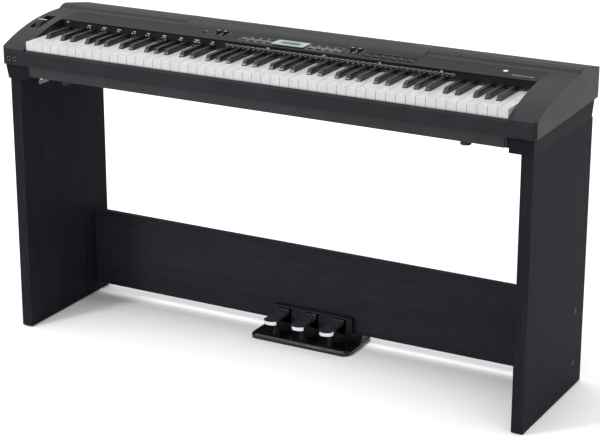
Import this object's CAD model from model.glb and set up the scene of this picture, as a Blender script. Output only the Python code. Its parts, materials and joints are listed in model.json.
"""The looks of the digital piano on its panel stand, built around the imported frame."""
import json
import math
import random

import bmesh
import bpy
from mathutils import Matrix, Vector
from mathutils.bvhtree import BVHTree

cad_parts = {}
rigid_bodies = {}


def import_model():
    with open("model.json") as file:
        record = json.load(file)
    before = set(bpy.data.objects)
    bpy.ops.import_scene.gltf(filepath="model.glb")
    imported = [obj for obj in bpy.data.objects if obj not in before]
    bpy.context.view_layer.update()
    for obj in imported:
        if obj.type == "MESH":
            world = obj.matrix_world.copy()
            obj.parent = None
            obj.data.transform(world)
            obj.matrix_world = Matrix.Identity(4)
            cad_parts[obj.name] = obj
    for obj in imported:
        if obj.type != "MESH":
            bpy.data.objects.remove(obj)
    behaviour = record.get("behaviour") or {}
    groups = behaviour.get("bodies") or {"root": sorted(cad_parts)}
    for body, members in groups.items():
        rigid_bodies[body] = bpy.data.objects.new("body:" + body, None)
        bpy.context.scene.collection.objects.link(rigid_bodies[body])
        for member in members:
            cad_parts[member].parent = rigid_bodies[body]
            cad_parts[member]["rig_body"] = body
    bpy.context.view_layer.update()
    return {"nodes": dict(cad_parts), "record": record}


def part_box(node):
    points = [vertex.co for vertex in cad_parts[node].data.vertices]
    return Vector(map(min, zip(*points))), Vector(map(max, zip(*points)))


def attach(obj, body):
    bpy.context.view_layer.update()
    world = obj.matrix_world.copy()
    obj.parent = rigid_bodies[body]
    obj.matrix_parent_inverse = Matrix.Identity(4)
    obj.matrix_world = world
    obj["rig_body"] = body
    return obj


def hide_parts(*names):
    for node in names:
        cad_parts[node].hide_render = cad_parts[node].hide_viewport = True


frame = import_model()

MM = 0.001
UP = Vector((0, 0, 1))
SHARP = math.radians(32)


# ------------------------------------------------------------------ camera and light

CAMERA_PLACE = (2.091, -3.758, 1.802)
CAMERA_TURN = 28.77
CAMERA_DIP = 18.9
CAMERA_LENS = 116.6


def make_camera():
    data = bpy.data.cameras.new("camera")
    data.lens = CAMERA_LENS
    camera = bpy.data.objects.new("camera", data)
    camera.location = CAMERA_PLACE
    camera.rotation_euler = (math.radians(90 - CAMERA_DIP), 0, math.radians(CAMERA_TURN))
    bpy.context.scene.collection.objects.link(camera)
    bpy.context.scene.camera = camera


def soft_box(name, place, target, size, power):
    """A large square lamp at place that faces target."""
    data = bpy.data.lights.new(name, "AREA")
    data.shape = "SQUARE"
    data.size = size
    data.energy = power
    lamp = bpy.data.objects.new(name, data)
    lamp.location = place
    lamp.rotation_euler = (Vector(target) - Vector(place)).to_track_quat("-Z", "Y").to_euler()
    bpy.context.scene.collection.objects.link(lamp)


def light_studio():
    world = bpy.data.worlds.new("studio")
    world.use_nodes = True
    background = world.node_tree.nodes["Background"]
    background.inputs["Color"].default_value = (1, 1, 1, 1)
    background.inputs["Strength"].default_value = 0.35
    bpy.context.scene.world = world
    bpy.context.scene.view_settings.view_transform = "Standard"
    soft_box("ceiling lamp", (0, 1.5, 6.0), (0, 1.5, 0), 16, 1180)
    soft_box("front lamp", (-1.9, -2.9, 3.0), (0, -0.1, 0.73), 0.6, 72)


# ------------------------------------------------------------------ shader writing


class Wire:
    """A shader socket on which ordinary arithmetic can be written."""

    def __init__(self, finish, socket):
        self.finish = finish
        self.socket = socket

    def maths(self, operation, first, second):
        return self.finish.node("ShaderNodeMath", {"operation": operation}, {0: first, 1: second})

    def __add__(self, other):
        return self.maths("ADD", self, other)

    def __sub__(self, other):
        return self.maths("SUBTRACT", self, other)

    def __rsub__(self, other):
        return self.maths("SUBTRACT", other, self)

    def __mul__(self, other):
        return self.maths("MULTIPLY", self, other)

    __radd__ = __add__
    __rmul__ = __mul__


class Finish:
    """A material under construction, with its constant values set on the shader itself."""

    def __init__(self, name, **constants):
        self.material = bpy.data.materials.new(name)
        self.material.use_nodes = True
        self.tree = self.material.node_tree
        self.shader = self.tree.nodes["Principled BSDF"]
        for socket, value in constants.items():
            self.shader.inputs[socket.replace("_", " ")].default_value = value

    def node(self, kind, settings=None, inputs=None, output=0):
        """Adds a node of any kind, sets its settings and feeds its inputs."""
        made = self.tree.nodes.new(kind)
        for name, value in (settings or {}).items():
            setattr(made, name, value)
        for name, value in (inputs or {}).items():
            if isinstance(value, Wire):
                self.tree.links.new(value.socket, made.inputs[name])
            else:
                made.inputs[name].default_value = value
        return Wire(self, made.outputs[output])

    def place(self, stretch=(1, 1, 1)):
        """Position on the object in metres, scaled along each axis."""
        where = self.node("ShaderNodeTexCoord", output=3)
        return self.node("ShaderNodeMapping", None, {"Vector": where, "Scale": stretch})

    def noise(self, per_metre, detail=3.0, stretch=(1, 1, 1), roughness=0.5):
        return self.node("ShaderNodeTexNoise", None,
                         {"Vector": self.place(stretch), "Scale": per_metre,
                          "Detail": detail, "Roughness": roughness})

    def ramp(self, wire, low, high):
        """Spreads a narrow band of a value over the whole range from 0 to 1."""
        return self.node("ShaderNodeMapRange", {"clamp": True},
                         {"Value": wire, "From Min": low, "From Max": high})

    def blend(self, mask, first, second):
        """Mixes two colours."""
        return self.node("ShaderNodeMix", {"data_type": "RGBA"},
                         {0: mask, 6: (*first, 1), 7: (*second, 1)}, output=2)

    def feed(self, socket, wire):
        self.tree.links.new(wire.socket, self.shader.inputs[socket])

    def relief(self, height, depth):
        """Turns a height from 0 to 1 into a relief of that depth in metres."""
        self.feed("Normal", self.node("ShaderNodeBump", None,
                                      {"Strength": 0.6, "Distance": depth, "Height": height}))


def moulded_plastic(name, dark, light, rough, gloss=0.22):
    """Injection-moulded plastic with a fine etched texture and faint handling marks."""
    finish = Finish(name, Specular_IOR_Level=gloss)
    etch = finish.noise(1600, 2)
    cloud = finish.ramp(finish.noise(14, 4), 0.35, 0.7)
    speck = finish.ramp(finish.noise(420, 3), 0.45, 0.75)
    finish.feed("Base Color", finish.blend(cloud * 0.6 + speck * 0.4, dark, light))
    finish.feed("Roughness", cloud * 0.07 + (rough - 0.05) + speck * 0.05)
    finish.relief(etch + speck * 0.5, 0.00006)
    return finish.material


def grained_board(name, along, dark, light):
    """Black laminate with an embossed wood grain that runs along one axis."""
    finish = Finish(name, Specular_IOR_Level=0.008)
    stretch = [26, 26, 26]
    stretch[along] = 1.1
    pores = finish.noise(9, 6, stretch, 0.62)
    bands = finish.noise(1.3, 3, stretch, 0.5)
    open_pores = finish.ramp(pores, 0.52, 0.66)
    finish.feed("Base Color", finish.blend(open_pores * 0.45 + bands * 0.55, dark, light))
    finish.feed("Roughness", open_pores * 0.16 + bands * 0.1 + 0.3)
    finish.relief(1 - open_pores, 0.00012)
    return finish.material


def key_ivory():
    """Glossy white key plastic, faintly warmer where fingers have polished it."""
    finish = Finish("white key plastic", Specular_IOR_Level=0.3, Coat_Roughness=0.08)
    cloud = finish.ramp(finish.noise(35, 3), 0.3, 0.7)
    scratch = finish.ramp(finish.noise(60, 5, (30, 1, 1), 0.6), 0.55, 0.75)
    finish.feed("Base Color", finish.blend(cloud, (0.51, 0.51, 0.508), (0.57, 0.57, 0.57)))
    finish.feed("Roughness", cloud * 0.08 + 0.14 + scratch * 0.1)
    finish.feed("Coat Weight", 0.35 - cloud * 0.15)
    finish.relief(scratch, 0.00001)
    return finish.material


def key_ebony():
    """Satin black key plastic with a brushed grain along the key."""
    finish = Finish("black key plastic", Specular_IOR_Level=0.5)
    grain = finish.noise(40, 5, (40, 1, 40), 0.6)
    rubbed = finish.ramp(finish.noise(30, 3), 0.4, 0.7)
    finish.feed("Base Color", finish.blend(grain, (0.003, 0.003, 0.0035), (0.009, 0.009, 0.011)))
    finish.feed("Roughness", grain * 0.12 + 0.2 - rubbed * 0.05)
    finish.relief(grain, 0.00004)
    return finish.material


def felt():
    """Dense wool felt."""
    finish = Finish("red felt", Roughness=0.95, Sheen_Weight=0.5, Sheen_Roughness=0.4)
    fibre = finish.noise(900, 6, (1, 3, 1), 0.7)
    finish.feed("Base Color", finish.blend(fibre, (0.04, 0.002, 0.005), (0.12, 0.006, 0.016)))
    finish.relief(fibre, 0.0005)
    return finish.material


def plated(name, colour, rough, brushed):
    """Plated or bare metal with hairline polishing marks."""
    finish = Finish(name, Metallic=1.0)
    hair = finish.noise(160, 5, brushed, 0.6)
    smear = finish.ramp(finish.noise(45, 3), 0.35, 0.75)
    bright = tuple(min(1, c * 1.12) for c in colour)
    finish.feed("Base Color", finish.blend(hair, colour, bright))
    finish.feed("Roughness", hair * 0.08 + smear * 0.07 + rough)
    finish.relief(hair, 0.000015)
    return finish.material


def rubber():
    finish = Finish("rubber", Specular_IOR_Level=0.3)
    dust = finish.ramp(finish.noise(220, 4), 0.45, 0.75)
    finish.feed("Base Color", finish.blend(dust, (0.012, 0.012, 0.012), (0.035, 0.034, 0.033)))
    finish.feed("Roughness", dust * 0.15 + 0.7)
    finish.relief(dust, 0.0002)
    return finish.material


def piano_gloss():
    """Polished black plastic with a clear top layer and hairline wipe marks."""
    finish = Finish("gloss black plastic", Specular_IOR_Level=0.25, Coat_Roughness=0.04)
    wipe = finish.ramp(finish.noise(50, 5, (1, 12, 1), 0.6), 0.5, 0.8)
    cloud = finish.noise(12, 3)
    finish.feed("Base Color", finish.blend(cloud, (0.003, 0.003, 0.004), (0.007, 0.007, 0.009)))
    finish.feed("Roughness", wipe * 0.12 + 0.12)
    finish.feed("Coat Weight", 0.45 - wipe * 0.2)
    finish.relief(wipe, 0.000008)
    return finish.material


def screen_glass():
    """The clear window over the display, with a faint smear."""
    finish = Finish("display window", Specular_IOR_Level=0.6, Coat_Weight=0.4)
    smear = finish.ramp(finish.noise(70, 4), 0.4, 0.8)
    finish.feed("Base Color", finish.blend(smear, (0.13, 0.15, 0.155), (0.17, 0.19, 0.195)))
    finish.feed("Roughness", smear * 0.12 + 0.06)
    return finish.material


def print_ink(name, colour):
    """Screen-printed ink, slightly uneven."""
    finish = Finish(name, Specular_IOR_Level=0.4)
    patch = finish.noise(700, 3)
    worn = tuple(c * 0.82 for c in colour)
    finish.feed("Base Color", finish.blend(patch, worn, colour))
    finish.feed("Roughness", patch * 0.2 + 0.35)
    return finish.material


def solder_mask():
    finish = Finish("circuit board", Specular_IOR_Level=0.5)
    track = finish.ramp(finish.noise(180, 1, (1, 6, 1)), 0.48, 0.52)
    finish.feed("Base Color", finish.blend(track, (0.003, 0.02, 0.01), (0.005, 0.035, 0.018)))
    finish.feed("Roughness", track * 0.15 + 0.25)
    return finish.material


def pale_floor():
    finish = Finish("studio floor", Specular_IOR_Level=0.1)
    fleck = finish.noise(3, 2)
    finish.feed("Base Color", finish.blend(fleck, (0.93, 0.93, 0.93), (0.95, 0.95, 0.95)))
    finish.feed("Roughness", fleck * 0.1 + 0.8)
    return finish.material


# ------------------------------------------------------------------ mesh helpers

node_body = {node: shape["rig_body"] for node, shape in frame["nodes"].items()}
node_slot = {row["node"]: row["material_slot"] for row in frame["record"]["subparts"]}


def shown(name, mesh, material, body):
    """Puts a mesh in the scene as a piece that rides on a body."""
    piece = bpy.data.objects.new(name, mesh)
    bpy.context.scene.collection.objects.link(piece)
    mesh.materials.clear()
    mesh.materials.append(material)
    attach(piece, body)
    return piece


def bevelled(piece, width, segments):
    """Rounds the sharp edges of a piece."""
    bevel = piece.modifiers.new("rounded edges", "BEVEL")
    bevel.width = width
    bevel.segments = segments
    bevel.limit_method = "ANGLE"
    bevel.angle_limit = SHARP
    bevel.harden_normals = True


def smooth_mesh(name, shape):
    """Finishes a bmesh as a smooth mesh whose sharp edges stay sharp."""
    bmesh.ops.recalc_face_normals(shape, faces=shape.faces)
    for face in shape.faces:
        face.smooth = True
    mesh = bpy.data.meshes.new(name)
    shape.to_mesh(mesh)
    shape.free()
    mesh.set_sharp_from_angle(angle=SHARP)
    return mesh


def coat(node, material):
    """Gives a CAD node that is carried over as it is one material."""
    slots = frame["nodes"][node].data.materials
    slots.clear()
    slots.append(material)


def rounded_copy(node, material, width, segments=2):
    """Stands a copy with eased edges in for a CAD node that has sharp ones."""
    source = frame["nodes"][node].data
    bare = bpy.data.meshes.new(node)
    bare.from_pydata([v.co for v in source.vertices], [],
                     [list(p.vertices) for p in source.polygons])
    shape = bmesh.new()
    shape.from_mesh(bare)
    bmesh.ops.remove_doubles(shape, verts=shape.verts, dist=1e-6)
    bmesh.ops.dissolve_limit(shape, angle_limit=math.radians(0.2),
                             verts=shape.verts, edges=shape.edges)
    piece = shown(node + ".eased", smooth_mesh(node, shape), material,
                  node_body[node])
    bevelled(piece, width, segments)
    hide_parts(node)
    return piece


def add_box(shape, low, high):
    """Adds a closed box between two corners to a bmesh."""
    low, high = Vector(low), Vector(high)
    middle = (low + high) / 2
    size = high - low
    bmesh.ops.create_cube(shape, size=1, matrix=Matrix.Translation(middle)
                          @ Matrix.Diagonal((*size, 1)))


def lathe(shape, profile, centre, axis, steps=40):
    """Turns a profile of (radius, height) points about an axis through centre."""
    turn = UP.rotation_difference(Vector(axis)).to_matrix().to_4x4()
    place = Matrix.Translation(centre) @ turn
    rings = []
    for step in range(steps):
        angle = 2 * math.pi * step / steps
        rings.append([shape.verts.new(place @ Vector((r * math.cos(angle), r * math.sin(angle), h)))
                      for r, h in profile])
    for step in range(steps):
        here, there = rings[step], rings[(step + 1) % steps]
        for k in range(len(profile)):
            after = (k + 1) % len(profile)
            shape.faces.new((here[k], there[k], there[after], here[after]))


surface_trees = {}


def surface_z(node, x, y):
    """Height of a CAD node's upper surface at x and y."""
    if node not in surface_trees:
        data = frame["nodes"][node].data
        surface_trees[node] = BVHTree.FromPolygons([v.co for v in data.vertices],
                                                   [list(p.vertices) for p in data.polygons])
    hit = surface_trees[node].ray_cast(Vector((x, y, 2)), -UP)
    return hit[0].z if hit[0] else None


def add_print(shape, node, x, y, width, depth, lift=0.15 * MM):
    """Adds one flat printed mark that lies on a CAD node's upper surface."""
    corners = [(x - width / 2, y - depth / 2), (x + width / 2, y - depth / 2),
               (x + width / 2, y + depth / 2), (x - width / 2, y + depth / 2)]
    heights = [surface_z(node, *corner) for corner in corners]
    known = [h for h in heights if h is not None]
    if not known:
        return
    rear = heights[2] or heights[3] or known[0]
    front = heights[0] or heights[1] or known[0]
    level = [front, front, rear, rear]
    top = [shape.verts.new((*c, h + lift)) for c, h in zip(corners, level)]
    low = [shape.verts.new((*c, h - lift)) for c, h in zip(corners, level)]
    shape.faces.new(top)
    shape.faces.new(low[::-1])
    for k in range(4):
        after = (k + 1) % 4
        shape.faces.new((low[k], low[after], top[after], top[k]))


# ------------------------------------------------------------------ materials in use

shell_skin = moulded_plastic("shell plastic", (0.011, 0.011, 0.014), (0.021, 0.021, 0.026), 0.42,
                             gloss=0.14)
end_skin = moulded_plastic("end block plastic", (0.008, 0.008, 0.011), (0.016, 0.016, 0.02), 0.5,
                           gloss=0.03)
case_skin = moulded_plastic("case plastic", (0.014, 0.014, 0.018), (0.026, 0.026, 0.031), 0.46)
deck_skin = moulded_plastic("deck plastic", (0.012, 0.012, 0.014), (0.02, 0.02, 0.024), 0.4,
                              gloss=0.06)
control_skin = moulded_plastic("control plastic", (0.005, 0.005, 0.006), (0.012, 0.012, 0.014), 0.5)
frame_skin = moulded_plastic("display frame plastic", (0.3, 0.37, 0.36), (0.36, 0.43, 0.42), 0.3)
side_board = grained_board("side board laminate", 2, (0.011, 0.011, 0.015), (0.024, 0.024, 0.031))
cross_board = grained_board("back board laminate", 0, (0.016, 0.016, 0.021), (0.034, 0.034, 0.044))
ivory = key_ivory()
ebony = key_ebony()
red_felt = felt()
zinc = plated("zinc plated steel", (0.6, 0.6, 0.61), 0.28, (20, 1, 1))
dark_zinc = plated("dark passivated steel", (0.13, 0.13, 0.14), 0.4, (20, 1, 1))
chrome = plated("polished chrome", (0.8, 0.8, 0.82), 0.05, (1, 8, 1))
black_rubber = rubber()
black_gloss = piano_gloss()
window = screen_glass()
white_ink = print_ink("white print", (0.85, 0.85, 0.85))
pale_ink = print_ink("pale print", (0.6, 0.6, 0.61))
grey_ink = print_ink("grey print", (0.35, 0.36, 0.37))
dark_ink = print_ink("dark print", (0.02, 0.025, 0.025))
warm_field_ink = print_ink("warm field print", (0.075, 0.062, 0.068))
cool_field_ink = print_ink("cool field print", (0.065, 0.085, 0.084))
board_green = solder_mask()


# ------------------------------------------------------------------ stand


def dress_stand():
    for node in ("left_leg", "right_leg"):
        rounded_copy(node, side_board, 0.9 * MM)
    rounded_copy("back_board", cross_board, 0.8 * MM)
    rounded_copy("leg_glides", black_rubber, 0.4 * MM)
    rounded_copy("leg_brackets", dark_zinc, 0.4 * MM)
    rounded_copy("case_screws", zinc, 1.2 * MM, 3)
    rounded_copy("board_bolts", control_skin, 0.6 * MM)


def cut_bolt_sockets():
    """Dark hexagon sockets in the heads of the side boards' bolts."""
    low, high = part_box("board_bolts")
    back_low, back_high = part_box("back_board")
    shape = bmesh.new()
    middle = (back_low.y + back_high.y) / 2
    head = 8 * MM
    for z in (low.z + head, high.z - head):
        for side in (-1, 1):
            lathe(shape, [(0.2 * MM, 0), (2.6 * MM, 0), (3.1 * MM, 0.25 * MM), (0.2 * MM, 0.25 * MM)],
                  (side * high.x, middle, z), (side, 0, 0), 6)
    shown("bolt_sockets", smooth_mesh("bolt_sockets", shape), dark_ink, "piano")


# ------------------------------------------------------------------ body


def dress_body():
    for node in ("left_cheek", "right_cheek", "front_rail", "rear_rail_ends", "fallboard"):
        rounded_copy(node, shell_skin, 0.8 * MM)
    rounded_copy("rear_rail_middle", shell_skin, 0.5 * MM)
    rounded_copy("rest_channel", control_skin, 0.5 * MM)
    rounded_copy("control_panel", deck_skin, 0.3 * MM)
    rounded_copy("lower_case", case_skin, 0.9 * MM)
    rounded_copy("end_blocks", end_skin, 0.9 * MM)
    rounded_copy("case_feet", black_rubber, 1 * MM)
    rounded_copy("key_felts", red_felt, 0.4 * MM)
    rounded_copy("display_frame", frame_skin, 0.6 * MM)
    for node, material in (("key_chassis", zinc), ("key_pivot_rod", zinc), ("speakers", control_skin),
                           ("circuit_boards", board_green), ("display_window", window),
                           ("headphone_jacks", control_skin), ("rear_sockets", control_skin)):
        coat(node, material)


def mark_rail_seams():
    """The dark joint lines between the rear rail's ends and its middle."""
    low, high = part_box("rear_rail_middle")
    shape = bmesh.new()
    step = 3 * MM
    for side, x in ((-1, low.x), (1, high.x)):
        y = low.y + step
        while y < high.y - step:
            add_print(shape, "rear_rail_middle", x - side * 1.2 * MM, y, 1.6 * MM, step, 0.2 * MM)
            y += step
    shown("rail_seams", smooth_mesh("rail_seams", shape), black_rubber, "piano")


def ring_sockets():
    """Plated nuts round the mouths of the headphone and rear sockets."""
    shape = bmesh.new()
    profile = [(3.3 * MM, 0), (5.4 * MM, 0), (5.4 * MM, 0.9 * MM), (4.9 * MM, 1.4 * MM),
               (3.6 * MM, 1.4 * MM)]
    for mount in frame["record"]["mounts"]:
        if mount["kind"] != "bore" or not 3 < mount["dims"]["r_mm"] < 4:
            continue
        axis = Vector(mount["axis"])
        low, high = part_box("headphone_jacks" if axis.y < 0 else "rear_sockets")
        mouth = low.y if axis.y < 0 else high.y
        place = Vector((mount["pos_m"][0], mouth, mount["pos_m"][2]))
        lathe(shape, profile, place - axis * 1.35 * MM, axis)
    shown("socket_nuts", smooth_mesh("socket_nuts", shape), dark_zinc, "piano")


LIGHT_PLACES = (-0.595, -0.043, 0.101, 0.240, 0.390)
ICON_SPAN = (-0.533, -0.17)
BRACKET_SPAN = (-0.15, 0.43)
BRACKET_PITCH = 13.5 * MM


def print_fallboard():
    """Generic legends, brackets and ticks on the wall behind the keys."""
    low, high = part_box("fallboard")
    face = low.y
    middle = (low.z + high.z) / 2 + 1 * MM
    dice = random.Random(7)
    shape = bmesh.new()

    def bar(x, z, width, height):
        add_box(shape, (x - width / 2, face - 0.15 * MM, z - height / 2),
                (x + width / 2, face + 0.1 * MM, z + height / 2))

    for x in LIGHT_PLACES:
        bar(x, high.z - 2.2 * MM, 7 * MM, 2.4 * MM)
    x, icons_end = ICON_SPAN
    while x < icons_end:
        bar(x, middle + 2.5 * MM, dice.uniform(6, 12) * MM, 2.4 * MM)
        for side in (-1, 0, 1)[:dice.choice((2, 3))]:
            bar(x + (side * 6 + dice.uniform(-1, 1)) * MM, middle - 2.2 * MM,
                dice.uniform(2.5, 4.5) * MM, 2.2 * MM)
        x += dice.uniform(38, 47) * MM
    x, brackets_end = BRACKET_SPAN
    while x < brackets_end:
        bar(x, middle + 2.5 * MM, 10 * MM, 0.9 * MM)
        for side in (-1, 1):
            bar(x + side * 4.6 * MM, middle + 0.7 * MM, 0.9 * MM, 2.8 * MM)
        bar(x + dice.uniform(-1, 1) * MM, middle - 2.6 * MM, dice.uniform(1.5, 4) * MM, 1.5 * MM)
        x += BRACKET_PITCH
    shown("fallboard_legends", smooth_mesh("fallboard_legends", shape), pale_ink,
          "piano")


# ------------------------------------------------------------------ control deck

BANKS = (("buttons_left", 4), ("buttons_middle", 4), ("buttons_right", 6))
CAP_W = 13 * MM
CAP_D = 6 * MM
CAP_FLANGE = 1.5 * MM
CAP_CLEAR = 1.4 * MM
SLIDERS = ("volume_slider", "accompaniment_slider", "bass_slider", "treble_slider")


def dress_controls():
    for node, _ in BANKS:
        rounded_copy(node, control_skin, 0.7 * MM, 3)
    for node in SLIDERS:
        rounded_copy(node, control_skin, 0.8 * MM, 3)
    rounded_copy("power_button", control_skin, 0.7 * MM, 3)
    rounded_copy("pitch_wheel", black_rubber, 1.0 * MM, 3)


def print_field(shape, centres_x, centres_y, cap_w, cap_d, margin):
    """A printed field round a bank of buttons, laid as strips that leave the caps clear."""
    low_x, high_x = centres_x[0] - cap_w / 2, centres_x[-1] + cap_w / 2
    edges = ([centres_y[0] - cap_d / 2 - margin]
             + [y + side * cap_d / 2 for y in centres_y for side in (-1, 1)]
             + [centres_y[-1] + cap_d / 2 + margin])
    for near, far in zip(edges[0::2], edges[1::2]):
        add_print(shape, "control_panel", (low_x + high_x) / 2, (near + far) / 2,
                  high_x - low_x + 2 * margin, far - near)
    for y in centres_y:
        for side, x in ((-1, low_x), (1, high_x)):
            add_print(shape, "control_panel", x + side * margin / 2, y, margin, cap_d)
        for left, right in zip(centres_x, centres_x[1:]):
            add_print(shape, "control_panel", (left + right) / 2, y, right - left - cap_w, cap_d)


def bank_layout(node, columns):
    """Centres of a bank's caps across and along the deck."""
    low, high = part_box(node)
    first = low.x + CAP_FLANGE + CAP_W / 2
    last = high.x - CAP_FLANGE - CAP_W / 2
    across = [first + (last - first) * column / (columns - 1) for column in range(columns)]
    along = [low.y + CAP_FLANGE + CAP_D / 2, high.y - CAP_FLANGE - CAP_D / 2]
    return across, along


def print_deck():
    """Printed fields and white ticks round the buttons, and scales beside the sliders."""
    shape = bmesh.new()
    for node, columns in BANKS:
        across, along = bank_layout(node, columns)
        if node != "buttons_right":
            field = bmesh.new()
            print_field(field, across, along, CAP_W + CAP_CLEAR, CAP_D + CAP_CLEAR, 3.5 * MM)
            ink = warm_field_ink if node == "buttons_left" else cool_field_ink
            shown(node + "_field", smooth_mesh(node + "_field", field), ink,
                  "piano")
        for x in across:
            for y in along:
                add_print(shape, "control_panel", x, y + CAP_D / 2 + 2.3 * MM,
                          8 * MM, 1.1 * MM, 0.3 * MM)
    for node in SLIDERS:
        low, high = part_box(node)
        x = (low.x + high.x) / 2
        y = (low.y + high.y) / 2
        for step in range(-2, 3):
            for side in (-1, 1):
                add_print(shape, "control_panel", x + side * 6.3 * MM, y + step * 7.5 * MM,
                          2.4 * MM, 0.7 * MM)
    low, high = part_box("power_button")
    add_print(shape, "control_panel", (low.x + high.x) / 2, high.y + 3 * MM, 6 * MM, 0.9 * MM)
    shown("deck_legends", smooth_mesh("deck_legends", shape), white_ink, "piano")


BADGE_PLACE = (0.524, 0.016)
STRIP_START = (0.549, -0.004)
STRIP_STEPS = 8
STRIP_PITCH = 6.6 * MM


def add_badges():
    """A blank oval badge and a plain bright strip at the deck's right-hand end."""
    shape = bmesh.new()
    x, y = BADGE_PLACE
    lathe(shape, [(0.2 * MM, 0), (5.5 * MM, 0), (5.2 * MM, 0.8 * MM), (0.2 * MM, 1.0 * MM)],
          (x, y, surface_z("control_panel", x, y)), UP)
    strip = bmesh.new()
    start_x, strip_y = STRIP_START
    for step in range(STRIP_STEPS):
        add_print(strip, "control_panel", start_x + step * STRIP_PITCH, strip_y,
                  3.6 * MM, 3.4 * MM, 0.3 * MM)
    shown("badge_oval", smooth_mesh("badge_oval", shape), white_ink, "piano")
    shown("badge_strip", smooth_mesh("badge_strip", strip), grey_ink, "piano")


def draw_display():
    """Plain bars and boxes of a liquid crystal display, with no lettering."""
    low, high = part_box("display_window")
    shape = bmesh.new()

    def segment(x, y, width, depth):
        add_box(shape, (x - width / 2, y - depth / 2, high.z - 0.05 * MM),
                (x + width / 2, y + depth / 2, high.z + 0.12 * MM))

    middle = (low + high) / 2
    for step in range(12):
        tall = (2 + 5 * abs(math.sin(step * 1.3))) * MM
        segment(low.x + 8 * MM + step * 3.2 * MM, low.y + 4 * MM + tall / 2, 1.8 * MM, tall)
    for step in range(3):
        segment(low.x + 12 * MM + step * 14 * MM, high.y - 4 * MM, 9 * MM, 1.6 * MM)
    segment(middle.x, high.y - 1.6 * MM, 46 * MM, 0.6 * MM)
    shown("display_segments", smooth_mesh("display_segments", shape), dark_ink,
          "piano")


def mark_sliders():
    """A white line across the top of each slider's cap."""
    for node in SLIDERS:
        low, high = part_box(node)
        shape = bmesh.new()
        middle = (low.y + high.y) / 2
        add_box(shape, (low.x + 1 * MM, middle - 0.9 * MM, high.z - 0.2 * MM),
                (high.x - 1 * MM, middle + 0.9 * MM, high.z + 0.15 * MM))
        shown(node + ".mark", smooth_mesh(node + ".mark", shape), white_ink,
              node_body[node])


def mark_wheel():
    """A white line across the top of the pitch bend wheel."""
    low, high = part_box("pitch_wheel")
    shape = bmesh.new()
    middle = (low.y + high.y) / 2
    add_box(shape, (low.x + 2 * MM, middle - 1.1 * MM, high.z - 0.5 * MM),
            (high.x - 2 * MM, middle + 1.1 * MM, high.z + 0.1 * MM))
    shown("pitch_wheel.mark", smooth_mesh("pitch_wheel.mark", shape), white_ink,
          node_body["pitch_wheel"])


# ------------------------------------------------------------------ keys and pedals


def dress_keys():
    for node, slot in node_slot.items():
        if slot == "white_key":
            rounded_copy(node, ivory, 0.8 * MM, 3)
        elif slot == "black_key":
            rounded_copy(node, ebony, 1.0 * MM, 3)


def dress_pedals():
    rounded_copy("pedal_base", black_gloss, 0.4 * MM)
    rounded_copy("pedal_housing", shell_skin, 0.9 * MM)
    rounded_copy("pedal_stops", black_rubber, 0.6 * MM)
    for node in ("pedal_left", "pedal_middle", "pedal_right"):
        rounded_copy(node, chrome, 1.6 * MM, 4)
    for node in ("pedal_shaft", "pedal_springs"):
        coat(node, zinc)


# ------------------------------------------------------------------ studio


def lay_floor():
    shape = bmesh.new()
    bmesh.ops.create_grid(shape, x_segments=2, y_segments=2, size=14)
    mesh = bpy.data.meshes.new("studio_floor")
    shape.to_mesh(mesh)
    shape.free()
    mesh.materials.append(pale_floor())
    floor = bpy.data.objects.new("studio_floor", mesh)
    floor.location.z = -0.5 * MM
    bpy.context.scene.collection.objects.link(floor)


make_camera()
light_studio()
lay_floor()
dress_stand()
cut_bolt_sockets()
dress_body()
mark_rail_seams()
ring_sockets()
print_fallboard()
dress_controls()
print_deck()
add_badges()
draw_display()
mark_sliders()
mark_wheel()
dress_keys()
dress_pedals()
